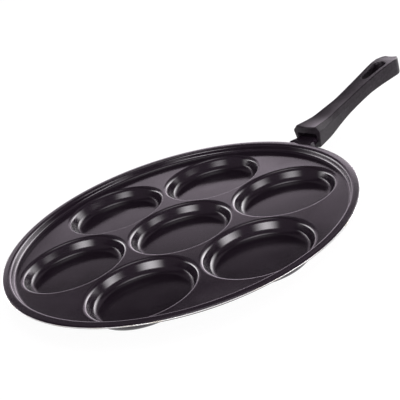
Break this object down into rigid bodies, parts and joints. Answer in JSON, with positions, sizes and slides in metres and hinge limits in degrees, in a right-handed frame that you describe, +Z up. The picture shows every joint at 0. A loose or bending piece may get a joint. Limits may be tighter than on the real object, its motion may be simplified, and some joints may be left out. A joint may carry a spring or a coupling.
{
  "type": "pancake pan",
  "caption": "Low round pressed-steel pan with flat-bottomed round wells in a ring about a centre well, a turned-over rim and a rising moulded handle with a hanging slot.",
  "frame": {"origin": "middle of the centre well's underside, on the plane the pan rests on", "axes": "+X from the pan's middle along the handle, +Z up out of the wells"},
  "size_m": [0.4086, 0.27, 0.0396],
  "materials": {
    "nonstick_coat": "satin non-stick coat on steel sheet, bare steel at the trimmed edge",
    "bracket_coat": "satin black coat on steel",
    "phenolic": "satin moulded phenolic",
    "brass": "machined",
    "zinc_plate": "bright zinc plate",
    "spring_steel": "plain spring steel"
  },
  "bodies": {
    "root": {"pan_body": "nonstick_coat", "handle_bracket": "bracket_coat", "handle": "phenolic", "thread_insert": "brass", "handle_screw": "zinc_plate", "lock_washer": "spring_steel"}
  },
  "joints": []
}
